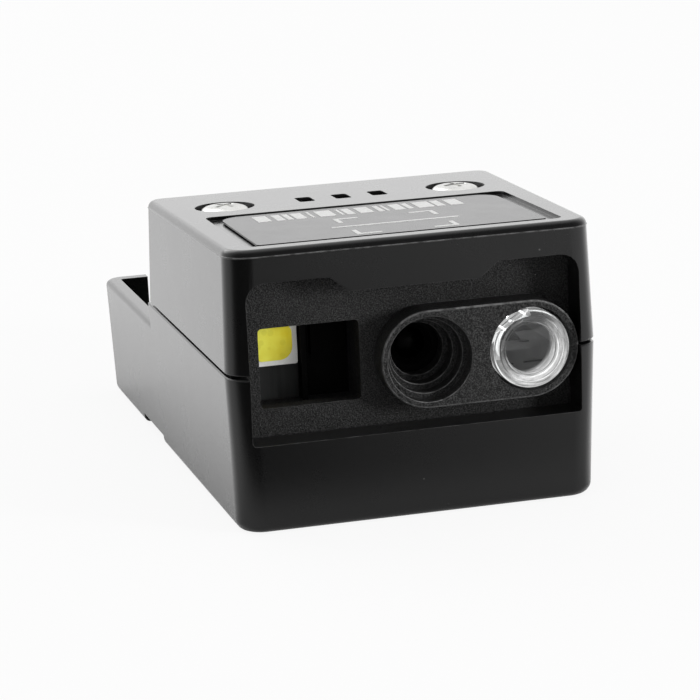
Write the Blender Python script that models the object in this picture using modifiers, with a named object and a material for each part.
# Fixed-mount barcode scan engine: a two-part moulded case around an optical chassis and two boards
# Metres, +Z up. X is the width, +Y runs from the window to the open tail.
# The origin is on the underside, at the middle of the width and of the length.
import math

import bmesh
import bpy
from mathutils import Matrix, Vector

mm = 0.001

# Case
SIDE_TAPER = 0.021
COVER_HEIGHT = 9.3 * mm
COVER_FALL = 0.031
DRAFT = 0.032
TAIL_RAKE = 0.27
TAIL_DROP = 1.9 * mm
WALL = 1.2 * mm
TAIL_WALL = 1.4 * mm
FLOOR = 1.8 * mm
SEAM_GAP = 0.3 * mm
SEAM_CHAMFER = 0.18 * mm
FIT = 0.3 * mm
SEAT = 0.1 * mm
OVERCUT = 1.0 * mm
MERGE = 0.002 * mm
EMBED = 0.5 * mm
FRONT_CORNER = 2.0 * mm
COVER_REAR_CORNER = 2.0 * mm
TAIL_CORNER = 1.5 * mm
COVER_EDGE = 0.5 * mm
HOUSING_EDGE = 0.8 * mm

# Window in the front wall
WINDOW_SIDE = 1.475 * mm
WINDOW_BELOW = 5.15 * mm
WINDOW_ABOVE = 6.85 * mm
WINDOW_CORNER = 1.4 * mm
WINDOW_FRAME = 2.6 * mm
FRAME_BAND = 1.2 * mm
FRAME_SETBACK = 0.96 * mm
TAB_WIDTH = 9.85 * mm
TAB_SLOPE = 1.45 * mm
TAB_DROP = 1.15 * mm

# Features of the cover's top
RECESS_SIDE = 2.05 * mm
RECESS_FRONT = 1.8 * mm
RECESS_LAND = 2.05 * mm
RECESS_DEPTH = 0.3 * mm
RECESS_CORNER = 0.6 * mm
LABEL_SIDE = 1.0 * mm
LABEL_REAR = 2.05 * mm
LABEL_THICKNESS = 0.15 * mm
LABEL_SEAT = 0.08 * mm
LABEL_CORNER = 0.25 * mm
LABEL_FRONT = 0.85 * mm
SLOT_WIDTH = 1.25 * mm
SLOT_LENGTH = 2.2 * mm
SLOT_PITCH = 2.95 * mm
SLOT_COUNT = 3
SLOT_DEPTH = 3.0 * mm

# Cover screws and their bosses
SCREW_INSET = 4.6 * mm
SCREW_REAR = 7.7 * mm
SCREW_THREAD = 1.0 * mm
SCREW_HEAD = 1.95 * mm
SCREW_HEAD_HEIGHT = 1.4 * mm
SCREW_LENGTH = 12.0 * mm
COUNTERBORE = 2.35 * mm
COUNTERBORE_DEPTH = 1.35 * mm
SCREW_RECESS = 1.0 * mm
PILOT_EXTRA = 1.0 * mm
COVER_BOSS = 3.3 * mm
HOUSING_BOSS = 2.5 * mm
BOSS_WEB = 1.0 * mm
LIP_HEIGHT = 0.85 * mm
LIP_THICKNESS = 0.5 * mm
SKIRT_RISE = 0.6 * mm

# Underside
CHANNEL_START = 1.7 * mm
CHANNEL_LENGTH = 7.5 * mm
CHANNEL_DEPTH = 0.95 * mm
INSERT_SPACING = 14.0 * mm
INSERT_BACK = 9.5 * mm
INSERT_RADIUS = 1.6 * mm
INSERT_BORE = 0.8 * mm
INSERT_LENGTH = 3.0 * mm
INSERT_EDGE = 0.15 * mm
INSERT_RECESS = 0.05 * mm
INSERT_BOSS = 2.6 * mm

# Notch in the tail's rear wall, where the plugs go in
NOTCH_SIDE = 2.6 * mm
NOTCH_CORNER = 1.0 * mm

# Optical chassis
PLATE_FRONT = 2.9 * mm
PLATE_THICKNESS = 1.2 * mm
PLATE_PLAY = 0.2 * mm
PLATE_HEADROOM = 0.47 * mm
PLATE_CORNER = 0.8 * mm
AXIS_DROP = 0.1 * mm
APERTURE_TO_BOSS = 1.03 * mm
BORE_TO_LENS = 1.61 * mm
RACETRACK_RIM = 0.48 * mm
RACETRACK_FRONT = 0.6 * mm
BORE_RADIUS = 3.2 * mm
BORE_STEPS = 4
BORE_STEP_DEPTH = 1.2 * mm
BORE_STEP_IN = 0.4 * mm
TOWER_WALL = 0.9 * mm
TOWER_BACK = 11.7 * mm
POCKET_TO_WALL = 0.58 * mm
APERTURE_HEIGHT = 6.0 * mm
APERTURE_CORNER = 0.3 * mm
POCKET_WALL = 0.6 * mm
POCKET_MARGIN = 0.4 * mm
SENSOR_MARGIN = 0.08 * mm
DIVIDER_GAP = 0.15 * mm
DIVIDER_THICKNESS = 0.4 * mm
DIVIDER_SETBACK = 1.6 * mm
AIM_TUBE_WALL = 0.6 * mm
AIM_TUBE_BACK = 9.6 * mm
POST_OFFSET = 4.03 * mm
POST_INSET = 1.6 * mm
POST_RADIUS = 1.3 * mm
RIB_THICKNESS = 0.8 * mm
RIB_REACH = 0.7 * mm
LEDGE_X = 9.4 * mm
LEDGE_WIDTH = 1.2 * mm

# Camera
BARREL_RADIUS = 2.65 * mm
BARREL_LENGTH = 4.4 * mm
BARREL_STOP = 1.2 * mm
LENS_RADIUS = 1.6 * mm
LENS_THICKNESS = 1.5 * mm
SENSOR_WIDTH = 5.2 * mm
SENSOR_HEIGHT = 4.6 * mm
SENSOR_THICKNESS = 1.0 * mm
BOARD_THICKNESS = 0.8 * mm
BOARD_CORNER = 0.5 * mm
SENSOR_BOARD_LEFT_EDGE = 2.77 * mm
SENSOR_BOARD_RIGHT_EDGE = 0.32 * mm
SENSOR_BOARD_TO_WALL = 0.7 * mm
SENSOR_BOARD_EDGE = 1.2 * mm
SENSOR_BOARD_RISE = 2.747 * mm
SMALL_SCREW_HEAD = 1.2 * mm
SMALL_SCREW_HEAD_HEIGHT = 0.7 * mm
SMALL_SCREW_THREAD = 0.6 * mm
SMALL_SCREW_LENGTH = 3.0 * mm
SMALL_SCREW_RECESS = 0.6 * mm
LENS_SEAT = 0.1 * mm
LENS_PLAY = 0.25 * mm
LENS_BULGE = 0.35 * mm
BARREL_LIP = 0.6 * mm
BARREL_CHAMFER = 0.2 * mm
STOP_FLARE = 0.4 * mm

# Aiming lens
AIM_LENS_RADIUS = 2.95 * mm
AIM_LENS_FRONT = 0.5 * mm
AIM_LENS_FLANGE = 1.3 * mm
AIM_LENS_BODY = 2.3 * mm
AIM_LENS_LENGTH = 2.7 * mm
AIM_LENS_PLAY = 0.22 * mm
AIM_ZONE_RADIUS = 1.84 * mm
AIM_ZONE_DEPTH = 0.4 * mm
AIM_ZONE_BULGE = 0.15 * mm
AIM_LENS_EDGE = 0.15 * mm
AIM_LENS_DOME = 0.3 * mm
GATE_FLAT = 0.86
GATE_ANGLE = math.radians(122.0)
AIM_LED_WIDTH = 3.2 * mm
AIM_LED_HEIGHT = 2.8 * mm
AIM_LED_THICKNESS = 1.6 * mm

# Illumination
LED_SIZE = 3.5 * mm
LED_THICKNESS = 0.9 * mm
LED_CORNER = 0.15 * mm
LED_PLAY = 0.57 * mm
LED_RISE = 1.1 * mm
PHOSPHOR_SIZE = 2.7 * mm
PHOSPHOR_CORNER = 0.9 * mm
PHOSPHOR_THICKNESS = 0.15 * mm
PHOSPHOR_SEAT = 0.05 * mm
LIGHT_SENSOR_GAP = 0.5 * mm
LIGHT_SENSOR_SIZE = 2.6 * mm
LIGHT_SENSOR_SIDE = 0.26 * mm
LED_BOARD_FRONT = 7.2 * mm
LED_BOARD_TO_TOWER = 0.89 * mm
LED_BOARD_HEIGHT = 9.0 * mm

# Main board and what it carries
BOARD_RISE = 2.1 * mm
MAIN_THICKNESS = 1.0 * mm
MAIN_SIDE = 2.7 * mm
MAIN_CLEARANCE = 0.8 * mm
MAIN_SETBACK = 3.5 * mm
SOCKET_GAP = 3.0 * mm
BOARD_SCREW_SIDE = 2.3 * mm
BOARD_SCREW_REAR = 4.9 * mm
BOARD_SCREW_HEAD = 1.5 * mm
BOARD_SCREW_THREAD = 0.8 * mm
BOARD_SCREW_LENGTH = 2.7 * mm
BOARD_SCREW_HEAD_HEIGHT = 0.8 * mm
BOARD_SCREW_RECESS = 0.8 * mm
FRONT_REST_X = 5.0 * mm
FRONT_REST_RADIUS = 1.2 * mm
FRONT_REST_BACK = 2.0 * mm
BOARD_POST = 1.9 * mm
BUZZER_RADIUS = 4.2 * mm
BUZZER_HEIGHT = 4.0 * mm
BUZZER_PORT = 0.8 * mm
BUZZER_EDGE = 0.3 * mm
DECODER_REAR = 3.6 * mm
DECODER_SIZE = 8.0 * mm
DECODER_HEIGHT = 0.5 * mm
CHIP_SIDE = 3.0 * mm
CHIP_SETBACK = 2.2 * mm
CHIP_TO_BOSS = 0.9 * mm
CHIP_HEIGHT = 0.8 * mm
MEMORY_WIDTH = 4.5 * mm
MEMORY_LENGTH = 3.2 * mm
CRYSTAL_WIDTH = 3.2 * mm
CRYSTAL_LENGTH = 2.5 * mm
STATUS_SIDE = 1.7 * mm
STATUS_GAP = 0.5 * mm
STATUS_WIDTH = 0.8 * mm
STATUS_HEIGHT = 0.6 * mm
USB_SIDE = 2.2 * mm
USB_WIDTH = 7.6 * mm
USB_LENGTH = 5.4 * mm
USB_HEIGHT = 2.6 * mm
USB_SHEET = 0.3 * mm
USB_OVERHANG = 0.7 * mm
USB_BEVEL = 0.91 * mm
TONGUE_WIDTH = 5.0 * mm
TONGUE_THICKNESS = 0.6 * mm
TONGUE_DROP = 0.45 * mm
TONGUE_SETBACK = 0.6 * mm
HEADER_SIDE = 2.35 * mm
HEADER_WIDTH = 7.5 * mm
HEADER_LENGTH = 5.0 * mm
HEADER_HEIGHT = 4.4 * mm
HEADER_WALL = 0.6 * mm
HEADER_OVERHANG = 0.5 * mm
HEADER_BACK_WALL = 1.0 * mm
KEY_WIDTH = 2.6 * mm
KEY_LENGTH = 2.2 * mm
KEY_DEPTH = 1.2 * mm
PIN_COUNT = 4
PIN_PITCH = 1.5 * mm
PIN_SIZE = 0.4 * mm
PIN_PLAY = 0.15 * mm
PIN_TAIL = 0.8 * mm
PIN_SETBACK = 1.0 * mm
FLEX_WIDTH = 6.0 * mm
FLEX_THICKNESS = 0.2 * mm
FLEX_BEND = 0.7 * mm
FLEX_TO_SCREW = 0.3 * mm
CONNECTOR_SIDE = 0.45 * mm
UPPER_CONNECTOR_DROP = 2.3 * mm
UPPER_CONNECTOR_DEPTH = 1.2 * mm
UPPER_CONNECTOR_HEIGHT = 2.2 * mm
LOWER_CONNECTOR_LENGTH = 1.5 * mm
LOWER_CONNECTOR_HEIGHT = 1.1 * mm
LOWER_CONNECTOR_BACK = 1.05 * mm

# Widths, from what stands side by side in the window
RACETRACK_RADIUS = BORE_RADIUS + RACETRACK_RIM
TOWER_RADIUS = BORE_RADIUS + TOWER_WALL
APERTURE_WIDTH = (
    LED_PLAY - POCKET_MARGIN + LED_SIZE + DIVIDER_GAP + DIVIDER_THICKNESS + LIGHT_SENSOR_GAP
    + LIGHT_SENSOR_SIZE + LIGHT_SENSOR_SIDE)
LEFT_REACH = WALL + POCKET_TO_WALL + POCKET_WALL + POCKET_MARGIN
RIGHT_REACH = SENSOR_BOARD_RIGHT_EDGE + SENSOR_BOARD_TO_WALL + WALL
OPTICS_WIDTH = (
    APERTURE_WIDTH + APERTURE_TO_BOSS + RACETRACK_RADIUS + BORE_RADIUS + BORE_TO_LENS
    + 2 * AIM_LENS_RADIUS)
BODY_WIDTH = LEFT_REACH + OPTICS_WIDTH + RIGHT_REACH
WINDOW_WIDTH = BODY_WIDTH - 2 * WINDOW_SIDE
RECESS_WIDTH = BODY_WIDTH - 2 * RECESS_SIDE
SCREW_SPACING = BODY_WIDTH - 2 * SCREW_INSET
NOTCH_WIDTH = BODY_WIDTH - 2 * NOTCH_SIDE
MAIN_WIDTH = BODY_WIDTH - 2 * MAIN_SIDE

# Places across the width
APERTURE_LEFT = LEFT_REACH - BODY_WIDTH / 2
LED_X = APERTURE_LEFT - POCKET_MARGIN + LED_PLAY + LED_SIZE / 2
DIVIDER_X = LED_X + LED_SIZE / 2 + DIVIDER_GAP + DIVIDER_THICKNESS / 2
LIGHT_SENSOR_X = DIVIDER_X + DIVIDER_THICKNESS / 2 + LIGHT_SENSOR_GAP + LIGHT_SENSOR_SIZE / 2
CAMERA_X = APERTURE_LEFT + APERTURE_WIDTH + APERTURE_TO_BOSS + RACETRACK_RADIUS
AIM_X = CAMERA_X + BORE_RADIUS + BORE_TO_LENS + AIM_LENS_RADIUS
POST_X = CAMERA_X + POST_OFFSET
FLEX_X = POST_X - SMALL_SCREW_HEAD - FLEX_TO_SCREW - CONNECTOR_SIDE - FLEX_WIDTH / 2
SENSOR_BOARD_LEFT = CAMERA_X - SENSOR_WIDTH / 2 - SENSOR_BOARD_LEFT_EDGE
SENSOR_BOARD_RIGHT = AIM_X + AIM_LENS_RADIUS + SENSOR_BOARD_RIGHT_EDGE
BOARD_SCREW_X = MAIN_WIDTH / 2 - BOARD_SCREW_SIDE
CHIP_X = MAIN_WIDTH / 2 - CHIP_SIDE
STATUS_X = MAIN_WIDTH / 2 - STATUS_SIDE
USB_X = MAIN_WIDTH / 2 - USB_SIDE - USB_WIDTH / 2
HEADER_X = HEADER_SIDE + HEADER_WIDTH / 2 - MAIN_WIDTH / 2

# Heights, from the floor up to the optical axes and the seam
PLATE_BACK = PLATE_FRONT + PLATE_THICKNESS
PLATE_HALF_HEIGHT = COVER_HEIGHT - COVER_FALL * PLATE_BACK - WALL - PLATE_HEADROOM + AXIS_DROP
POST_RISE = PLATE_HALF_HEIGHT - POST_INSET
AXIS_Z = FLOOR + SENSOR_BOARD_RISE + SENSOR_BOARD_EDGE + POST_RISE
PARTING = AXIS_Z + AXIS_DROP
MAIN_BOTTOM = FLOOR + BOARD_RISE
MAIN_TOP = MAIN_BOTTOM + MAIN_THICKNESS
PARTS_ON_BOARD = MAIN_TOP + SEAT

# Lengths, from the front face to the rear wall
POCKET_BACK = LED_BOARD_FRONT - FIT
BARREL_FRONT = RACETRACK_FRONT + BORE_STEPS * BORE_STEP_DEPTH + FIT
SENSOR_BOARD_FRONT = TOWER_BACK + FIT
MAIN_FRONT = SENSOR_BOARD_FRONT + BOARD_THICKNESS + MAIN_CLEARANCE
CHIP_BACK = MAIN_FRONT + CHIP_SETBACK
SCREW_BACK = CHIP_BACK + MEMORY_LENGTH / 2 + CHIP_TO_BOSS + HOUSING_BOSS
COVER_LENGTH = SCREW_BACK + SCREW_REAR
BOARD_SCREW_BACK = COVER_LENGTH + BOARD_SCREW_REAR
DECODER_BACK = COVER_LENGTH + DECODER_REAR
PIN_FRONT = DECODER_BACK + DECODER_SIZE / 2 + SOCKET_GAP
MAIN_BACK = PIN_FRONT + PIN_TAIL + HEADER_LENGTH - HEADER_OVERHANG
STATUS_BACK = MAIN_BACK + USB_OVERHANG - USB_LENGTH - STATUS_GAP - STATUS_WIDTH
LENGTH = MAIN_BACK + MAIN_SETBACK
FRONT = -LENGTH / 2
RECESS_BACK = SCREW_BACK - COUNTERBORE - RECESS_LAND
CHANNEL_FRONT = COVER_LENGTH - CHANNEL_START

parts = None
cutters = None


def back(distance):
    """World Y of a place this far behind the front face."""
    return FRONT + distance


def clear_scene():
    for item in list(bpy.data.objects):
        bpy.data.objects.remove(item, do_unlink=True)


def new_collection(name):
    collection = bpy.data.collections.new(name)
    bpy.context.scene.collection.children.link(collection)
    return collection


def material(name, color, roughness, metallic=0.0, transmission=0.0):
    made = bpy.data.materials.get(name)
    if made:
        return made
    made = bpy.data.materials.new(name)
    made.use_nodes = True
    shader = made.node_tree.nodes["Principled BSDF"]
    shader.inputs["Base Color"].default_value = (*color, 1.0)
    shader.inputs["Roughness"].default_value = roughness
    shader.inputs["Metallic"].default_value = metallic
    shader.inputs["Transmission Weight"].default_value = transmission
    return made


def black_plastic():
    return material("black_abs", (0.012, 0.012, 0.013), 0.38)


def chassis_plastic():
    return material("black_chassis", (0.010, 0.010, 0.010), 0.6)


def label_film():
    return material("label_film", (0.02, 0.02, 0.021), 0.3)


def zinc_steel():
    return material("zinc_steel", (0.78, 0.78, 0.77), 0.25, metallic=1.0)


def clear_plastic():
    return material("clear_lens", (0.95, 0.96, 0.96), 0.03, transmission=1.0)


def lens_glass():
    return material("lens_glass", (0.9, 0.92, 0.95), 0.02, transmission=1.0)


def barrel_black():
    return material("barrel_black", (0.008, 0.008, 0.008), 0.5)


def white_ceramic():
    return material("white_package", (0.82, 0.82, 0.80), 0.45)


def phosphor_yellow():
    return material("phosphor", (0.80, 0.72, 0.06), 0.4)


def board_black():
    return material("black_board", (0.012, 0.014, 0.014), 0.45)


def board_green():
    return material("green_board", (0.01, 0.10, 0.04), 0.4)


def chip_epoxy():
    return material("chip_epoxy", (0.018, 0.018, 0.019), 0.55)


def crystal_can():
    return material("crystal_can", (0.7, 0.69, 0.66), 0.3, metallic=1.0)


def socket_steel():
    return material("socket_steel", (0.72, 0.72, 0.72), 0.28, metallic=1.0)


def header_nylon():
    return material("header_nylon", (0.78, 0.75, 0.68), 0.5)


def gold_plate():
    return material("gold_plate", (0.83, 0.62, 0.24), 0.25, metallic=1.0)


def brass():
    return material("brass_insert", (0.72, 0.55, 0.26), 0.3, metallic=1.0)


def flex_film():
    return material("flex_film", (0.45, 0.22, 0.04), 0.35)


def place(name, mesh, finish=None):
    """Link a mesh as a part, or as a cutter when it has no finish."""
    item = bpy.data.objects.new(name, mesh)
    if finish:
        parts.objects.link(item)
        mesh.materials.append(finish)
    else:
        cutters.objects.link(item)
        item.hide_render = True
        item.display_type = "WIRE"
    return item


def block(name, low, high, finish=None):
    """A box between two corners, given as X, distance behind the front face, Z."""
    mesh = bpy.data.meshes.new(name)
    bm = bmesh.new()
    bmesh.ops.create_cube(bm, size=1.0)
    middle = Vector(((low[0] + high[0]) / 2, back((low[1] + high[1]) / 2), (low[2] + high[2]) / 2))
    size = Vector((high[0] - low[0], high[1] - low[1], high[2] - low[2]))
    bmesh.ops.scale(bm, vec=size, verts=bm.verts)
    bmesh.ops.translate(bm, vec=middle, verts=bm.verts)
    bm.to_mesh(mesh)
    bm.free()
    return place(name, mesh, finish)


def drafted_block(name, corner, low, high, front_radius, rear_radius, finish=None):
    """A box whose corners come from corner(side, end, level), with its upright edges rounded."""
    mesh = bpy.data.meshes.new(name)
    bm = bmesh.new()
    bmesh.ops.create_cube(bm, size=2.0)
    signs = {vert: tuple(round(part) for part in vert.co) for vert in bm.verts}
    for vert, (side, end, level) in signs.items():
        vert.co = corner(side, end, high if level > 0 else low)
    widest = max(front_radius, rear_radius)
    layer = bm.edges.layers.float.new("bevel_weight_edge")
    for edge in bm.edges:
        first, second = (signs[vert] for vert in edge.verts)
        if first[:2] == second[:2]:
            edge[layer] = (front_radius if first[1] < 0 else rear_radius) / widest
    rims = {"upper_rim": [], "lower_rim": []}
    for vert, (side, end, level) in signs.items():
        rims["upper_rim" if level > 0 else "lower_rim"].append(vert.index)
    bm.to_mesh(mesh)
    bm.free()
    item = place(name, mesh, finish)
    for rim, indices in rims.items():
        item.vertex_groups.new(name=rim).add(indices, 1.0, "REPLACE")
    bevel = round_edges(item, "Round corners", widest, 4)
    bevel.limit_method = "WEIGHT"
    return item


def rod(name, radius, start, end, centre, axis="Z", segments=40, finish=None):
    """A cylinder along Z or Y, from start to end on that axis."""
    mesh = bpy.data.meshes.new(name)
    bm = bmesh.new()
    bmesh.ops.create_cone(
        bm, cap_ends=True, segments=segments, radius1=radius, radius2=radius, depth=end - start)
    if axis == "Z":
        middle = Vector((centre[0], back(centre[1]), (start + end) / 2))
    else:
        bmesh.ops.rotate(bm, matrix=Matrix.Rotation(math.radians(90), 3, "X"), verts=bm.verts)
        middle = Vector((centre[0], back((start + end) / 2), centre[1]))
    bmesh.ops.translate(bm, vec=middle, verts=bm.verts)
    for face in bm.faces:
        face.smooth = len(face.verts) == 4
    bm.to_mesh(mesh)
    bm.free()
    return place(name, mesh, finish)


def arc(centre_x, centre_y, radius, start, end, steps=6):
    """Points along an arc; angles in degrees."""
    points = []
    for step in range(steps + 1):
        angle = math.radians(start + (end - start) * step / steps)
        points.append((centre_x + radius * math.cos(angle), centre_y + radius * math.sin(angle)))
    return points


def rounded_rectangle(left, right, bottom, top, radius, steps=5):
    """Outline of a rectangle with round corners, anticlockwise."""
    points = arc(right - radius, bottom + radius, radius, -90, 0, steps)
    points += arc(right - radius, top - radius, radius, 0, 90, steps)
    points += arc(left + radius, top - radius, radius, 90, 180, steps)
    points += arc(left + radius, bottom + radius, radius, 180, 270, steps)
    return points


def outline_prism(name, points, start, end, matrix, finish=None):
    """A flat outline given thickness: start and end are measured along the outline's own normal."""
    curve = bpy.data.curves.new(name, "CURVE")
    curve.dimensions = "2D"
    curve.fill_mode = "BOTH"
    curve.extrude = (end - start) / 2
    spline = curve.splines.new("POLY")
    spline.points.add(len(points) - 1)
    for point, (x, y) in zip(spline.points, points):
        point.co = (x, y, 0.0, 1.0)
    spline.use_cyclic_u = True
    guide = bpy.data.objects.new(name + "_outline", curve)
    cutters.objects.link(guide)
    bpy.context.view_layer.update()
    shape = guide.evaluated_get(bpy.context.evaluated_depsgraph_get())
    mesh = bpy.data.meshes.new_from_object(shape)
    bpy.data.objects.remove(guide, do_unlink=True)
    bm = bmesh.new()
    bm.from_mesh(mesh)
    bmesh.ops.remove_doubles(bm, verts=bm.verts, dist=MERGE)
    bmesh.ops.translate(bm, vec=(0.0, 0.0, (start + end) / 2), verts=bm.verts)
    bmesh.ops.transform(bm, matrix=matrix, verts=bm.verts)
    bmesh.ops.recalc_face_normals(bm, faces=bm.faces)
    bm.to_mesh(mesh)
    bm.free()
    mesh.materials.clear()
    return place(name, mesh, finish)


def facing_front():
    """Outline X and Y become world X and Z; its normal runs from the back towards the front."""
    return Matrix.Translation((0.0, FRONT, 0.0)) @ Matrix.Rotation(math.radians(90), 4, "X")


def facing_side():
    """Outline X and Y become distance behind the front face and world Z; its normal is world X."""
    turn = Matrix(((0, 0, 1, 0), (1, 0, 0, 0), (0, 1, 0, 0), (0, 0, 0, 1)))
    return Matrix.Translation((0.0, FRONT, 0.0)) @ turn


def front_prism(name, points, near, far, finish=None):
    """A prism seen from the front, between two distances behind the front face."""
    return outline_prism(name, points, -far, -near, facing_front(), finish)


def turned(name, profile, matrix, segments=48, finish=None):
    """A profile of (radius, height) points, top to bottom, swept round the local Z axis."""
    mesh = bpy.data.meshes.new(name)
    bm = bmesh.new()
    ring = profile[0] == profile[-1]
    points = profile[:-1] if ring else profile
    verts = [bm.verts.new((radius, 0.0, height)) for radius, height in points]
    if ring:
        verts.append(verts[0])
    for first, second in zip(verts, verts[1:]):
        bm.edges.new((first, second))
    bm.to_mesh(mesh)
    bm.free()
    item = place(name, mesh, finish)
    item.matrix_world = matrix
    screw = item.modifiers.new("Turn", "SCREW")
    screw.axis = "Z"
    screw.steps = segments
    screw.render_steps = segments
    screw.use_merge_vertices = True
    screw.merge_threshold = 0.001 * mm
    screw.use_smooth_shade = True
    return item


def looking_out(x, distance, z):
    """A frame whose Z axis points out through the window."""
    return Matrix.Translation((x, back(distance), z)) @ Matrix.Rotation(math.radians(90), 4, "X")


def upright(x, distance, z):
    """A frame whose Z axis points up."""
    return Matrix.Translation((x, back(distance), z))


def combine(item, other, operation):
    step = item.modifiers.new(operation.title() + " " + other.name, "BOOLEAN")
    step.operation = operation
    step.object = other
    step.solver = "EXACT"


def cut(item, *tools):
    for tool in tools:
        combine(item, tool, "DIFFERENCE")


def add(item, *pieces):
    for piece in pieces:
        combine(item, piece, "UNION")


def round_edges(item, title, width, segments, rim=None):
    """A bevel on the edges of one rim, or on those that the caller limits it to."""
    bevel = item.modifiers.new(title, "BEVEL")
    bevel.width = width
    bevel.segments = segments
    if rim:
        bevel.limit_method = "VGROUP"
        bevel.vertex_group = rim
    return bevel


def half_width(distance):
    """Half the case's width at the parting plane."""
    return BODY_WIDTH / 2 + SIDE_TAPER * distance


def cover_top(distance):
    """World Z of the cover's sloping top."""
    return PARTING + COVER_HEIGHT - COVER_FALL * distance


def plate_half_width():
    """From the middle to the chassis plate's side, clear of the drafted walls."""
    return half_width(PLATE_FRONT) - DRAFT * PLATE_HALF_HEIGHT - WALL - PLATE_PLAY


def top_frame(distance):
    """A frame on the cover's sloping top, with Z out of it."""
    tilt = -math.atan(COVER_FALL)
    return Matrix.Translation((0.0, back(distance), cover_top(distance))) @ Matrix.Rotation(tilt, 4, "X")


def housing_rear(z):
    """Distance behind the front face of the tail's raked rear face."""
    return LENGTH + TAIL_RAKE * (z - PARTING + TAIL_DROP)


def housing_corner(side, end, z, inset=0.0, rear_inset=0.0):
    rise = z - PARTING
    distance = -DRAFT * rise + inset if end < 0 else housing_rear(z) - rear_inset
    x = side * (half_width(distance) + DRAFT * rise - inset)
    return Vector((x, back(distance), z))


def cover_corner(side, end, z, inset=0.0):
    """A corner of the cover; the top level follows the slope."""
    upper = z > PARTING + COVER_HEIGHT / 2
    rise = z - PARTING
    distance = DRAFT * rise + inset if end < 0 else COVER_LENGTH - DRAFT * rise - inset
    x = side * (half_width(distance) - DRAFT * rise - inset)
    level = z - COVER_FALL * distance if upper else z
    return Vector((x, back(distance), level))


def window_cutter(name):
    """The window: square lower corners, round upper ones, and a tab that hangs from its head."""
    half = WINDOW_WIDTH / 2
    head = PARTING + WINDOW_ABOVE
    sill = PARTING - WINDOW_BELOW
    points = [(-half, sill), (half, sill)]
    points += arc(half - WINDOW_CORNER, head - WINDOW_CORNER, WINDOW_CORNER, 0, 90, 5)
    points += [(TAB_WIDTH / 2 + TAB_SLOPE, head), (TAB_WIDTH / 2, head - TAB_DROP)]
    points += [(-TAB_WIDTH / 2, head - TAB_DROP), (-TAB_WIDTH / 2 - TAB_SLOPE, head)]
    points += arc(-half + WINDOW_CORNER, head - WINDOW_CORNER, WINDOW_CORNER, 90, 180, 5)
    return front_prism(name, points, -2 * OVERCUT, WINDOW_FRAME + FIT)


def screw_places():
    return [("left", -SCREW_SPACING / 2), ("right", SCREW_SPACING / 2)]


def boss_web(side, x, low, high):
    """A rib that ties a screw boss to the side wall."""
    wall = half_width(SCREW_BACK) - WALL / 2
    inner = abs(x) + HOUSING_BOSS - EMBED
    first, second = sorted((math.copysign(inner, x), math.copysign(wall, x)))
    return block(
        "web_" + side,
        (first, SCREW_BACK - BOSS_WEB / 2, low),
        (second, SCREW_BACK + BOSS_WEB / 2, high))


def lower_housing():
    top = PARTING - SEAM_GAP / 2
    housing = drafted_block(
        "lower_housing", housing_corner, 0.0, top, FRONT_CORNER, TAIL_CORNER, black_plastic())
    round_edges(housing, "Round lower rim", HOUSING_EDGE, 3, "lower_rim")
    round_edges(housing, "Chamfer seam", SEAM_CHAMFER, 1, "upper_rim")
    cavity = drafted_block(
        "housing_cavity",
        lambda side, end, z: housing_corner(side, end, z, WALL, TAIL_WALL),
        FLOOR, PARTING + 2 * OVERCUT, FRONT_CORNER - WALL, TAIL_CORNER - TAIL_WALL)
    cut(housing, cavity)
    half = WINDOW_WIDTH / 2
    frame_low = PARTING - WINDOW_BELOW - FRAME_BAND
    frame = block(
        "housing_window_frame",
        (-half - WALL / 2, FRAME_SETBACK, frame_low), (half + WALL / 2, WINDOW_FRAME, top))
    add(housing, frame)
    for side, x in screw_places():
        boss = rod("housing_boss_" + side, HOUSING_BOSS, FLOOR / 2, top, (x, SCREW_BACK), segments=32)
        add(housing, boss, boss_web("housing_" + side, x, FLOOR / 2, top - 2 * BOSS_WEB))
    for side, sign in (("left", -1), ("right", 1)):
        post_x = sign * BOARD_SCREW_X
        post = rod(
            "board_post_" + side, BOARD_POST, FLOOR / 2, MAIN_BOTTOM - FIT, (post_x, BOARD_SCREW_BACK),
            segments=24)
        insert_boss = rod(
            "insert_boss_" + side, INSERT_BOSS, FLOOR / 2, INSERT_LENGTH + FLOOR / 2,
            (sign * INSERT_SPACING / 2, INSERT_BACK), segments=24)
        add(housing, post, insert_boss, front_rest(side, sign), plate_rib(side, sign))
        add(housing, plate_ledge(side, sign), lip_rail(side, sign))
    cut(housing, window_cutter("housing_window"))
    for side, x in screw_places():
        depth = SCREW_LENGTH - (cover_top(SCREW_BACK) - COUNTERBORE_DEPTH - PARTING) + PILOT_EXTRA
        hole = rod(
            "pilot_hole_" + side, SCREW_THREAD + FIT, PARTING - depth, PARTING + OVERCUT, (x, SCREW_BACK),
            segments=20)
        relief = rod(
            "boss_relief_" + side, COVER_BOSS + FIT, PARTING, PARTING + 2 * OVERCUT, (x, SCREW_BACK),
            segments=32)
        cut(housing, hole, relief)
    for side, sign in (("left", -1), ("right", 1)):
        screw_hole = rod(
            "post_hole_" + side, BOARD_SCREW_THREAD + FIT, MAIN_TOP - BOARD_SCREW_LENGTH - FIT,
            MAIN_TOP, (sign * BOARD_SCREW_X, BOARD_SCREW_BACK), segments=20)
        insert_hole = rod(
            "insert_hole_" + side, INSERT_RADIUS + FIT, -OVERCUT, INSERT_LENGTH + FIT,
            (sign * INSERT_SPACING / 2, INSERT_BACK), segments=24)
        cut(housing, screw_hole, insert_hole)
    wide = BODY_WIDTH
    rim = PARTING - TAIL_DROP
    tail_cut = block(
        "tail_cut", (-wide, COVER_LENGTH, rim), (wide, LENGTH + 5 * OVERCUT, PARTING + 5 * OVERCUT))
    cut(housing, tail_cut, tail_notch(), underside_channel())
    return housing


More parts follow.
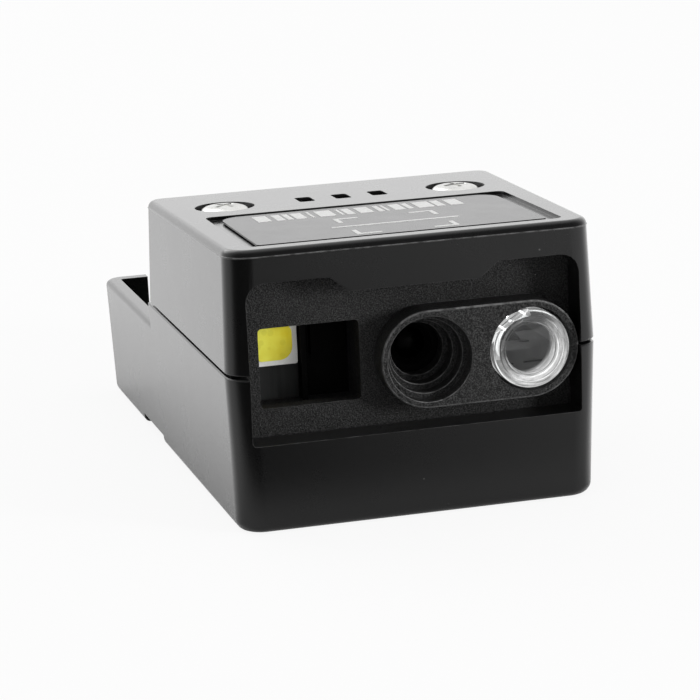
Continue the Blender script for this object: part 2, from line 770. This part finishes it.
def front_rest(side, sign):
    """A post under the main board's front edge."""
    return rod(
        "front_rest_" + side, FRONT_REST_RADIUS, FLOOR / 2, MAIN_BOTTOM - FIT,
        (sign * FRONT_REST_X, MAIN_FRONT + FRONT_REST_BACK), segments=20)


def plate_rib(side, sign):
    """A vertical rib behind the chassis plate, on the side wall and below the light pocket."""
    low = PLATE_BACK + FIT
    top = AXIS_Z - pocket_reach() - FIT
    wall = half_width(low) - WALL / 2 - DRAFT * PARTING / 2
    inner = plate_half_width() - RIB_REACH
    first, second = sorted((sign * inner, sign * wall))
    return block("plate_rib_" + side, (first, low, FLOOR / 2), (second, low + RIB_THICKNESS, top))


def plate_ledge(side, sign):
    """A rest on the floor under the chassis plate."""
    top = AXIS_Z - PLATE_HALF_HEIGHT - FIT
    x = sign * LEDGE_X
    return block(
        "plate_ledge_" + side,
        (x - LEDGE_WIDTH / 2, FRAME_SETBACK, FLOOR / 2), (x + LEDGE_WIDTH / 2, PLATE_BACK, top))


def lip_rail(side, sign):
    """The lip that stands inside the cover's wall and hides the seam."""
    start = LED_BOARD_FRONT + BOARD_THICKNESS + FIT
    end = COVER_LENGTH - WALL - FIT
    inner = half_width(start) - WALL - FIT
    root = inner + FIT + WALL / 2
    shoulder = PARTING - SEAM_GAP / 2 - FIT
    points = [
        (root, shoulder - 2 * WALL), (root, shoulder), (inner, shoulder), (inner, PARTING + LIP_HEIGHT),
        (inner - LIP_THICKNESS, PARTING + LIP_HEIGHT), (inner - LIP_THICKNESS, shoulder - WALL)]
    if sign < 0:
        points = [(-x, z) for x, z in reversed(points)]
    rail = front_prism("lip_rail_" + side, points, start, end)
    pivot = Vector((sign * inner, back(start), 0.0))
    turn = Matrix.Rotation(-sign * math.atan(SIDE_TAPER), 4, "Z")
    rail.data.transform(Matrix.Translation(pivot) @ turn @ Matrix.Translation(-pivot))
    return rail


def tail_notch():
    """The gap in the rear wall where the plugs go in, with round lower corners."""
    half = NOTCH_WIDTH / 2
    sill = MAIN_BOTTOM - FIT
    points = arc(half - NOTCH_CORNER, sill + NOTCH_CORNER, NOTCH_CORNER, -90, 0, 4)
    points += [(half, PARTING), (-half, PARTING)]
    points += arc(-half + NOTCH_CORNER, sill + NOTCH_CORNER, NOTCH_CORNER, 180, 270, 4)
    return front_prism("tail_notch", points, MAIN_BACK + SEAT, LENGTH + 3 * OVERCUT)


def underside_channel():
    """A shallow channel across the underside; its rear edge is round."""
    end = CHANNEL_FRONT + CHANNEL_LENGTH
    points = [(CHANNEL_FRONT, -OVERCUT), (end + CHANNEL_DEPTH, -OVERCUT)]
    points += arc(end + CHANNEL_DEPTH, CHANNEL_DEPTH, CHANNEL_DEPTH, 270, 180, 5)
    points += [(CHANNEL_FRONT, CHANNEL_DEPTH)]
    return outline_prism("underside_channel", points, -BODY_WIDTH, BODY_WIDTH, facing_side())


def upper_cover():
    low = PARTING + SEAM_GAP / 2
    high = PARTING + COVER_HEIGHT
    cover = drafted_block(
        "upper_cover", cover_corner, low, high, FRONT_CORNER, COVER_REAR_CORNER, black_plastic())
    round_edges(cover, "Round upper rim", COVER_EDGE, 3, "upper_rim")
    round_edges(cover, "Chamfer seam", SEAM_CHAMFER, 1, "lower_rim")
    cavity = drafted_block(
        "cover_cavity",
        lambda side, end, z: cover_corner(side, end, z, WALL),
        PARTING - 2 * OVERCUT, high - WALL, FRONT_CORNER - WALL, FRONT_CORNER - WALL)
    cut(cover, cavity)
    half = WINDOW_WIDTH / 2
    frame = block(
        "cover_window_frame",
        (-half - WALL / 2, FRAME_SETBACK, low), (half + WALL / 2, WINDOW_FRAME, high - WALL / 2 - SEAM_GAP))
    skirt_half = half_width(COVER_LENGTH) - WALL - FIT - LIP_THICKNESS - SEAT
    skirt = block(
        "rear_skirt",
        (-skirt_half, COVER_LENGTH - WALL, PARTS_ON_BOARD + SKIRT_RISE),
        (skirt_half, COVER_LENGTH - SEAT, PARTING + WALL))
    add(cover, frame, skirt)
    for side, x in screw_places():
        inner_top = cover_top(SCREW_BACK) - WALL / 2
        boss = rod("cover_boss_" + side, COVER_BOSS, low, inner_top, (x, SCREW_BACK), segments=32)
        add(cover, boss, boss_web("cover_" + side, x, low + LIP_HEIGHT + FIT, inner_top))
    cut(cover, window_cutter("cover_window"))
    recess_points = rounded_rectangle(
        -RECESS_WIDTH / 2, RECESS_WIDTH / 2, 0.0, RECESS_BACK - RECESS_FRONT, RECESS_CORNER, 4)
    recess = outline_prism(
        "label_recess", recess_points, -RECESS_DEPTH, OVERCUT, top_frame(RECESS_FRONT))
    cut(cover, recess)
    counterbore_floor = cover_top(SCREW_BACK) - COUNTERBORE_DEPTH
    for side, x in screw_places():
        sink = rod(
            "counterbore_" + side, COUNTERBORE, counterbore_floor, high + OVERCUT, (x, SCREW_BACK),
            segments=40)
        clearance = rod(
            "clearance_hole_" + side, SCREW_THREAD + FIT, PARTING - OVERCUT, high + OVERCUT, (x, SCREW_BACK),
            segments=20)
        cut(cover, sink, clearance)
    for index in range(SLOT_COUNT):
        x = (index - (SLOT_COUNT - 1) / 2) * SLOT_PITCH
        slot = block(
            "sound_slot_%d" % (index + 1),
            (x - SLOT_WIDTH / 2, SCREW_BACK - SLOT_LENGTH / 2, high - SLOT_DEPTH),
            (x + SLOT_WIDTH / 2, SCREW_BACK + SLOT_LENGTH / 2, high + OVERCUT))
        cut(cover, slot)
    return cover


def top_label():
    start = LABEL_SEAT - RECESS_DEPTH
    half = RECESS_WIDTH / 2 - LABEL_SIDE
    length = RECESS_BACK - RECESS_FRONT - LABEL_FRONT - LABEL_REAR
    points = rounded_rectangle(-half, half, 0.0, length, LABEL_CORNER, 2)
    return outline_prism(
        "top_label", points, start, start + LABEL_THICKNESS, top_frame(RECESS_FRONT + LABEL_FRONT),
        label_film())


def screw(name, matrix, head, head_height, thread, length, finish, recess):
    """A pan-head screw with a cross recess; its Z axis points out of the head, from under the head."""
    profile = [(0.0, head_height)]
    profile += [(head * 0.5, head_height * 0.97), (head * 0.8, head_height * 0.88)]
    profile += [(head * 0.95, head_height * 0.72), (head, head_height * 0.5), (head, 0.0)]
    profile += [(thread, 0.0), (thread, -length + thread * 0.5), (thread * 0.5, -length), (0.0, -length)]
    item = turned(name, profile, matrix, 32, finish)
    for index, angle in enumerate((0.0, math.radians(90))):
        mesh = bpy.data.meshes.new(name + "_recess")
        bm = bmesh.new()
        bmesh.ops.create_cube(bm, size=1.0)
        bmesh.ops.scale(bm, vec=(recess * 2, recess * 0.36, head_height), verts=bm.verts)
        for vert in bm.verts:
            if vert.co.z < 0:
                vert.co.x *= 0.45
        bmesh.ops.translate(bm, vec=(0.0, 0.0, head_height * 0.95), verts=bm.verts)
        bm.to_mesh(mesh)
        bm.free()
        slot = place("%s_recess_%d" % (name, index + 1), mesh)
        slot.matrix_world = matrix @ Matrix.Rotation(angle + math.radians(35), 4, "Z")
        cut(item, slot)
    return item


def cover_screws():
    under_head = cover_top(SCREW_BACK) - COUNTERBORE_DEPTH + SEAT
    for side, x in screw_places():
        screw(
            "cover_screw_" + side, upright(x, SCREW_BACK, under_head), SCREW_HEAD, SCREW_HEAD_HEIGHT,
            SCREW_THREAD, SCREW_LENGTH, zinc_steel(), SCREW_RECESS)


def bore_profile():
    """Steps of the camera bore, from the racetrack's face to the barrel's room; heights run backwards."""
    radius = BORE_RADIUS
    profile = [(0.0, OVERCUT), (radius, OVERCUT)]
    for step in range(BORE_STEPS):
        depth = -(step + 1) * BORE_STEP_DEPTH
        profile.append((radius, depth))
        if step < BORE_STEPS - 1:
            radius -= BORE_STEP_IN
            profile.append((radius, depth))
    room = BARREL_RADIUS + FIT
    end = -(TOWER_BACK - RACETRACK_FRONT + OVERCUT)
    last = -BORE_STEPS * BORE_STEP_DEPTH
    profile += [(room, last), (room, end), (0.0, end)]
    return profile


def optical_chassis():
    half = plate_half_width()
    low = AXIS_Z - PLATE_HALF_HEIGHT
    high = AXIS_Z + PLATE_HALF_HEIGHT
    plate_points = rounded_rectangle(-half, half, low, high, PLATE_CORNER, 3)
    chassis = front_prism("optical_chassis", plate_points, PLATE_FRONT, PLATE_BACK, chassis_plastic())
    racetrack_points = arc(AIM_X, AXIS_Z, RACETRACK_RADIUS, -90, 90, 18)
    racetrack_points += arc(CAMERA_X, AXIS_Z, RACETRACK_RADIUS, 90, 270, 18)
    racetrack = front_prism("racetrack_boss", racetrack_points, RACETRACK_FRONT, PLATE_BACK - SEAT)
    tower = rod("lens_tower", TOWER_RADIUS, PLATE_BACK - EMBED, TOWER_BACK, (CAMERA_X, AXIS_Z), "Y")
    aim_inner = AIM_LENS_BODY + FIT
    tube = rod(
        "aiming_tube", aim_inner + AIM_TUBE_WALL, PLATE_BACK - EMBED, AIM_TUBE_BACK, (AIM_X, AXIS_Z), "Y")
    add(chassis, racetrack, tower, tube, illumination_pocket())
    for place_name, sign in (("upper", 1), ("lower", -1)):
        post = rod(
            "sensor_post_" + place_name, POST_RADIUS, PLATE_BACK - EMBED, TOWER_BACK,
            (POST_X, AXIS_Z + sign * POST_RISE), "Y", 20)
        add(chassis, post)
    steps = turned(
        "stepped_bore", bore_profile(), looking_out(CAMERA_X, RACETRACK_FRONT, AXIS_Z), 48)
    flange_room = AIM_LENS_RADIUS + AIM_LENS_PLAY
    seat_depth = AIM_LENS_FRONT + AIM_LENS_FLANGE + FIT
    flange_bore = rod("aiming_seat", flange_room, -OVERCUT, seat_depth, (AIM_X, AXIS_Z), "Y", 48)
    tube_bore = rod(
        "aiming_bore", aim_inner, seat_depth - EMBED, AIM_TUBE_BACK + OVERCUT, (AIM_X, AXIS_Z), "Y", 40)
    pocket_x = SENSOR_WIDTH / 2 + FIT
    pocket_z = SENSOR_HEIGHT / 2 + FIT
    pocket = block(
        "sensor_pocket",
        (CAMERA_X - pocket_x, TOWER_BACK - SENSOR_THICKNESS - FIT, AXIS_Z - pocket_z),
        (CAMERA_X + pocket_x, TOWER_BACK + OVERCUT, AXIS_Z + pocket_z))
    cut(chassis, steps, flange_bore, tube_bore, pocket)
    aperture_points = rounded_rectangle(
        APERTURE_LEFT, APERTURE_LEFT + APERTURE_WIDTH, AXIS_Z - APERTURE_HEIGHT / 2,
        AXIS_Z + APERTURE_HEIGHT / 2, APERTURE_CORNER, 3)
    cut(chassis, front_prism("aperture", aperture_points, PLATE_FRONT - OVERCUT, PLATE_BACK + FIT))
    left = APERTURE_LEFT - POCKET_MARGIN
    right = APERTURE_LEFT + APERTURE_WIDTH + SENSOR_MARGIN
    pocket_half = APERTURE_HEIGHT / 2 + POCKET_MARGIN
    for room_name, start, end, room_back in (
            ("led_room", left, DIVIDER_X - DIVIDER_THICKNESS / 2, POCKET_BACK + OVERCUT),
            ("sensor_room", DIVIDER_X + DIVIDER_THICKNESS / 2, right, POCKET_BACK + OVERCUT),
            ("divider_front", left, right, PLATE_BACK + DIVIDER_SETBACK)):
        room = block(
            room_name,
            (start, PLATE_BACK, AXIS_Z - pocket_half), (end, room_back, AXIS_Z + pocket_half))
        cut(chassis, room)
    for place_name, sign in (("upper", 1), ("lower", -1)):
        hole = rod(
            "sensor_post_hole_" + place_name, SMALL_SCREW_THREAD + FIT, TOWER_BACK - SMALL_SCREW_LENGTH,
            TOWER_BACK + OVERCUT,
            (POST_X, AXIS_Z + sign * POST_RISE), "Y", 16)
        cut(chassis, hole)
    return chassis


def pocket_reach():
    """Half the light pocket's outer height."""
    return APERTURE_HEIGHT / 2 + POCKET_MARGIN + POCKET_WALL


def illumination_pocket():
    """The walls behind the plate that keep the LED's light in."""
    left = APERTURE_LEFT - POCKET_MARGIN - POCKET_WALL
    right = APERTURE_LEFT + APERTURE_WIDTH + SENSOR_MARGIN + POCKET_WALL
    reach = pocket_reach()
    return block(
        "illumination_pocket",
        (left, PLATE_BACK - EMBED, AXIS_Z - reach), (right, POCKET_BACK, AXIS_Z + reach))


def camera():
    front = BARREL_FRONT
    inner = LENS_RADIUS + LENS_PLAY
    mouth = BARREL_STOP + STOP_FLARE
    profile = [
        (mouth, 0.0), (BARREL_RADIUS - BARREL_CHAMFER, 0.0), (BARREL_RADIUS, -BARREL_CHAMFER),
        (BARREL_RADIUS, -BARREL_LENGTH), (inner, -BARREL_LENGTH), (inner, -BARREL_LIP),
        (BARREL_STOP, -BARREL_LIP), (mouth, 0.0)]
    turned("camera_lens_barrel", profile, looking_out(CAMERA_X, front, AXIS_Z), 40, barrel_black())
    top = -BARREL_LIP - LENS_SEAT
    shares = [step / 4 for step in range(5)]
    profile = [(LENS_RADIUS * share, top - LENS_BULGE * share ** 2) for share in shares]
    for share in reversed(shares):
        profile.append((LENS_RADIUS * share, top - LENS_THICKNESS + LENS_BULGE * share ** 2))
    turned("camera_lens", profile, looking_out(CAMERA_X, front, AXIS_Z), 32, lens_glass())
    sensor_back = SENSOR_BOARD_FRONT - SEAT
    block(
        "image_sensor",
        (CAMERA_X - SENSOR_WIDTH / 2, sensor_back - SENSOR_THICKNESS, AXIS_Z - SENSOR_HEIGHT / 2),
        (CAMERA_X + SENSOR_WIDTH / 2, sensor_back, AXIS_Z + SENSOR_HEIGHT / 2), chip_epoxy())


def sensor_board():
    half = POST_RISE + SENSOR_BOARD_EDGE
    points = rounded_rectangle(
        SENSOR_BOARD_LEFT, SENSOR_BOARD_RIGHT, AXIS_Z - half, AXIS_Z + half, BOARD_CORNER, 2)
    board_back = SENSOR_BOARD_FRONT + BOARD_THICKNESS
    board = front_prism("sensor_board", points, SENSOR_BOARD_FRONT, board_back, board_green())
    for place_name, sign in (("upper", 1), ("lower", -1)):
        z = AXIS_Z + sign * POST_RISE
        hole = rod(
            "board_hole_" + place_name, SMALL_SCREW_THREAD + FIT, SENSOR_BOARD_FRONT - OVERCUT,
            board_back + OVERCUT, (POST_X, z), "Y", 16)
        cut(board, hole)
        turn = Matrix.Translation((POST_X, back(board_back + SEAT), z))
        turn = turn @ Matrix.Rotation(math.radians(-90), 4, "X")
        screw(
            "sensor_screw_" + place_name, turn, SMALL_SCREW_HEAD, SMALL_SCREW_HEAD_HEIGHT,
            SMALL_SCREW_THREAD, SMALL_SCREW_LENGTH, zinc_steel(), SMALL_SCREW_RECESS)


def aiming_lens():
    """A clear moulding: domed optical zone, raised rim, flange and a short body behind it."""
    profile = []
    for step in range(5):
        share = step / 4
        profile.append((AIM_ZONE_RADIUS * share, -AIM_ZONE_DEPTH - AIM_ZONE_BULGE * share ** 2))
    rim = (AIM_ZONE_RADIUS + AIM_LENS_RADIUS) / 2
    profile += [(AIM_ZONE_RADIUS + AIM_LENS_EDGE, -AIM_LENS_EDGE), (rim, 0.0)]
    profile += [(AIM_LENS_RADIUS - AIM_LENS_EDGE, -AIM_LENS_EDGE / 2), (AIM_LENS_RADIUS, -AIM_LENS_EDGE)]
    profile += [(AIM_LENS_RADIUS, -AIM_LENS_FLANGE), (AIM_LENS_BODY, -AIM_LENS_FLANGE)]
    profile += [(AIM_LENS_BODY, -AIM_LENS_LENGTH), (AIM_LENS_BODY / 2, -AIM_LENS_LENGTH - AIM_LENS_DOME)]
    profile += [(0.0, -AIM_LENS_LENGTH - AIM_LENS_DOME * 4 / 3)]
    lens = turned(
        "aiming_lens", profile, looking_out(AIM_X, AIM_LENS_FRONT, AXIS_Z), 48, clear_plastic())
    reach = AIM_LENS_RADIUS * GATE_FLAT
    mesh = bpy.data.meshes.new("gate_flat")
    bm = bmesh.new()
    bmesh.ops.create_cube(bm, size=1.0)
    size = AIM_LENS_RADIUS * 1.5
    bmesh.ops.scale(bm, vec=(size, size * 2, AIM_LENS_FLANGE * 2), verts=bm.verts)
    bmesh.ops.translate(bm, vec=(reach + size / 2, 0.0, 0.0), verts=bm.verts)
    bm.to_mesh(mesh)
    bm.free()
    flat = place("gate_flat", mesh)
    flat.matrix_world = looking_out(AIM_X, AIM_LENS_FRONT, AXIS_Z) @ Matrix.Rotation(GATE_ANGLE, 4, "Z")
    cut(lens, flat)
    led_back = SENSOR_BOARD_FRONT - SEAT
    block(
        "aiming_led",
        (AIM_X - AIM_LED_WIDTH / 2, led_back - AIM_LED_THICKNESS, AXIS_Z - AIM_LED_HEIGHT / 2),
        (AIM_X + AIM_LED_WIDTH / 2, led_back, AXIS_Z + AIM_LED_HEIGHT / 2), white_ceramic())


def illumination():
    left = APERTURE_LEFT - POCKET_MARGIN - POCKET_WALL
    half = LED_BOARD_HEIGHT / 2
    right = CAMERA_X - TOWER_RADIUS - LED_BOARD_TO_TOWER
    points = rounded_rectangle(left, right, AXIS_Z - half, AXIS_Z + half, BOARD_CORNER, 2)
    front_prism("led_board", points, LED_BOARD_FRONT, LED_BOARD_FRONT + BOARD_THICKNESS, board_black())
    led_back = LED_BOARD_FRONT - SEAT
    led_front = led_back - LED_THICKNESS
    led_z = AXIS_Z + LED_RISE
    reach = LED_SIZE / 2
    package_points = rounded_rectangle(
        LED_X - reach, LED_X + reach, led_z - reach, led_z + reach, LED_CORNER, 2)
    front_prism("illumination_led", package_points, led_front, led_back, white_ceramic())
    glow = PHOSPHOR_SIZE / 2
    glow_points = rounded_rectangle(
        LED_X - glow, LED_X + glow, led_z - glow, led_z + glow, PHOSPHOR_CORNER, 5)
    glow_back = led_front - PHOSPHOR_SEAT
    front_prism("led_phosphor", glow_points, glow_back - PHOSPHOR_THICKNESS, glow_back, phosphor_yellow())
    half = LIGHT_SENSOR_SIZE / 2
    block(
        "light_sensor",
        (LIGHT_SENSOR_X - half, led_front, led_z - half), (LIGHT_SENSOR_X + half, led_back, led_z + half),
        chip_epoxy())


def main_board():
    half = MAIN_WIDTH / 2
    points = rounded_rectangle(-half, half, back(MAIN_FRONT), back(MAIN_BACK), BOARD_CORNER, 2)
    board = outline_prism("main_board", points, MAIN_BOTTOM, MAIN_TOP, Matrix(), board_green())
    for side, x in screw_places():
        notch = rod(
            "boss_notch_" + side, HOUSING_BOSS + FIT, MAIN_BOTTOM - OVERCUT, MAIN_TOP + OVERCUT,
            (x, SCREW_BACK), segments=32)
        edge = half + OVERCUT
        first, second = sorted((x, math.copysign(edge, x)))
        mouth = block(
            "boss_mouth_" + side,
            (first, SCREW_BACK - HOUSING_BOSS - FIT, MAIN_BOTTOM - OVERCUT),
            (second, SCREW_BACK + HOUSING_BOSS + FIT, MAIN_TOP + OVERCUT))
        cut(board, notch, mouth)
    for side, sign in (("left", -1), ("right", 1)):
        x = sign * BOARD_SCREW_X
        hole = rod(
            "main_hole_" + side, BOARD_SCREW_THREAD + FIT, MAIN_BOTTOM - OVERCUT, MAIN_TOP + OVERCUT,
            (x, BOARD_SCREW_BACK), segments=20)
        cut(board, hole)
        screw(
            "board_screw_" + side, upright(x, BOARD_SCREW_BACK, PARTS_ON_BOARD), BOARD_SCREW_HEAD,
            BOARD_SCREW_HEAD_HEIGHT, BOARD_SCREW_THREAD, BOARD_SCREW_LENGTH, zinc_steel(), BOARD_SCREW_RECESS)


def board_part(name, x, distance, width, length, height, finish):
    """A chip or other low part that stands on the main board."""
    return block(
        name,
        (x - width / 2, distance - length / 2, PARTS_ON_BOARD),
        (x + width / 2, distance + length / 2, PARTS_ON_BOARD + height), finish)


def board_parts():
    board_part("decoder_chip", 0.0, DECODER_BACK, DECODER_SIZE, DECODER_SIZE, DECODER_HEIGHT, chip_epoxy())
    board_part("memory_chip", -CHIP_X, CHIP_BACK, MEMORY_WIDTH, MEMORY_LENGTH, CHIP_HEIGHT, chip_epoxy())
    board_part("crystal", CHIP_X, CHIP_BACK, CRYSTAL_WIDTH, CRYSTAL_LENGTH, CHIP_HEIGHT, crystal_can())
    board_part(
        "status_led", STATUS_X, STATUS_BACK, STATUS_WIDTH, STATUS_WIDTH * 2, STATUS_HEIGHT, white_ceramic())
    port_floor = BUZZER_HEIGHT / 2
    profile = [
        (0.0, port_floor), (BUZZER_PORT, port_floor), (BUZZER_PORT, BUZZER_HEIGHT),
        (BUZZER_RADIUS - BUZZER_EDGE, BUZZER_HEIGHT), (BUZZER_RADIUS, BUZZER_HEIGHT - BUZZER_EDGE),
        (BUZZER_RADIUS, 0.0), (0.0, 0.0)]
    turned("buzzer", profile, upright(0.0, SCREW_BACK, PARTS_ON_BOARD), 40, chip_epoxy())


def flex_link():
    """Two connectors and the flat flexible strip that joins the boards."""
    board_back = SENSOR_BOARD_FRONT + BOARD_THICKNESS
    upper_z = AXIS_Z - UPPER_CONNECTOR_DROP
    upper_back = board_back + SEAT + UPPER_CONNECTOR_DEPTH
    half = FLEX_WIDTH / 2 + CONNECTOR_SIDE
    block(
        "sensor_board_connector",
        (FLEX_X - half, board_back + SEAT, upper_z - UPPER_CONNECTOR_HEIGHT / 2),
        (FLEX_X + half, upper_back, upper_z + UPPER_CONNECTOR_HEIGHT / 2), header_nylon())
    board_part(
        "main_board_connector", FLEX_X, MAIN_FRONT + LOWER_CONNECTOR_BACK, half * 2, LOWER_CONNECTOR_LENGTH,
        LOWER_CONNECTOR_HEIGHT, header_nylon())
    lower_back = MAIN_FRONT + LOWER_CONNECTOR_BACK + LOWER_CONNECTOR_LENGTH / 2
    lower_z = PARTS_ON_BOARD + LOWER_CONNECTOR_HEIGHT / 2
    centre = lower_back + FIT
    inner_bend = FLEX_BEND - FLEX_THICKNESS
    outside = [(upper_back + FIT, upper_z)]
    outside += arc(centre, upper_z - FLEX_BEND, FLEX_BEND, 90, 0, 5)
    outside += arc(centre, lower_z + FLEX_BEND, FLEX_BEND, 0, -90, 5)
    inside = arc(centre, lower_z + FLEX_BEND, inner_bend, -90, 0, 5)
    inside += arc(centre, upper_z - FLEX_BEND, inner_bend, 0, 90, 5)
    inside += [(upper_back + FIT, upper_z - FLEX_THICKNESS)]
    outline_prism(
        "flex_cable", outside + inside, FLEX_X - FLEX_WIDTH / 2, FLEX_X + FLEX_WIDTH / 2, facing_side(),
        flex_film())


def usb_socket():
    """A folded steel shell, open to the rear, with a contact tongue inside."""
    end = MAIN_BACK + USB_OVERHANG
    half = USB_WIDTH / 2
    low = PARTS_ON_BOARD

    def section(inset):
        reach = half - inset
        bottom = low + inset
        top = low + USB_HEIGHT - inset
        return [
            (USB_X - reach + USB_BEVEL, bottom), (USB_X + reach - USB_BEVEL, bottom),
            (USB_X + reach, bottom + USB_BEVEL), (USB_X + reach, top),
            (USB_X - reach, top), (USB_X - reach, bottom + USB_BEVEL)]

    shell = front_prism("usb_socket_shell", section(0.0), end - USB_LENGTH, end, socket_steel())
    inside = front_prism("usb_inside", section(USB_SHEET), end - USB_LENGTH + USB_SHEET, end + OVERCUT)
    cut(shell, inside)
    tongue_top = low + USB_HEIGHT - USB_SHEET - TONGUE_DROP
    block(
        "usb_socket_tongue",
        (USB_X - TONGUE_WIDTH / 2, end - USB_LENGTH + USB_SHEET + SEAT, tongue_top - TONGUE_THICKNESS),
        (USB_X + TONGUE_WIDTH / 2, end - TONGUE_SETBACK, tongue_top), chip_epoxy())


def pin_header():
    """A four-way shrouded header, open to the rear."""
    end = MAIN_BACK + HEADER_OVERHANG
    half = HEADER_WIDTH / 2
    low = PARTS_ON_BOARD
    start = PIN_FRONT + PIN_TAIL
    housing = block(
        "header_housing", (HEADER_X - half, start, low), (HEADER_X + half, end, low + HEADER_HEIGHT),
        header_nylon())
    inside = block(
        "header_inside",
        (HEADER_X - half + HEADER_WALL, start + HEADER_BACK_WALL, low + HEADER_WALL),
        (HEADER_X + half - HEADER_WALL, end + OVERCUT, low + HEADER_HEIGHT - HEADER_WALL))
    key = block(
        "header_key",
        (HEADER_X - KEY_WIDTH / 2, end - KEY_LENGTH, low + HEADER_HEIGHT - KEY_DEPTH),
        (HEADER_X + KEY_WIDTH / 2, end + OVERCUT, low + HEADER_HEIGHT + OVERCUT))
    cut(housing, inside, key)
    middle = low + HEADER_HEIGHT / 2
    for index in range(PIN_COUNT):
        x = HEADER_X + (index - (PIN_COUNT - 1) / 2) * PIN_PITCH
        reach = PIN_SIZE / 2 + PIN_PLAY
        hole = block(
            "pin_hole_%d" % (index + 1),
            (x - reach, start - OVERCUT, middle - reach),
            (x + reach, start + HEADER_BACK_WALL + OVERCUT, middle + reach))
        cut(housing, hole)
        block(
            "header_pin_%d" % (index + 1),
            (x - PIN_SIZE / 2, PIN_FRONT, middle - PIN_SIZE / 2),
            (x + PIN_SIZE / 2, end - PIN_SETBACK, middle + PIN_SIZE / 2), gold_plate())


def mounting_inserts():
    """Brass inserts in the underside, a little above its face."""
    profile = [
        (INSERT_BORE, INSERT_LENGTH), (INSERT_RADIUS - INSERT_EDGE, INSERT_LENGTH),
        (INSERT_RADIUS, INSERT_LENGTH - INSERT_EDGE), (INSERT_RADIUS, INSERT_RECESS),
        (INSERT_BORE, INSERT_RECESS), (INSERT_BORE, INSERT_LENGTH)]
    for side, sign in (("left", -1), ("right", 1)):
        turned(
            "mounting_insert_" + side, profile, upright(sign * INSERT_SPACING / 2, INSERT_BACK, 0.0), 24,
            brass())


def build():
    global parts, cutters
    clear_scene()
    parts = new_collection("barcode_scan_engine")
    cutters = new_collection("cutters")
    lower_housing()
    upper_cover()
    top_label()
    cover_screws()
    optical_chassis()
    camera()
    sensor_board()
    aiming_lens()
    illumination()
    main_board()
    board_parts()
    flex_link()
    usb_socket()
    pin_header()
    mounting_inserts()
    bpy.context.view_layer.update()


build()
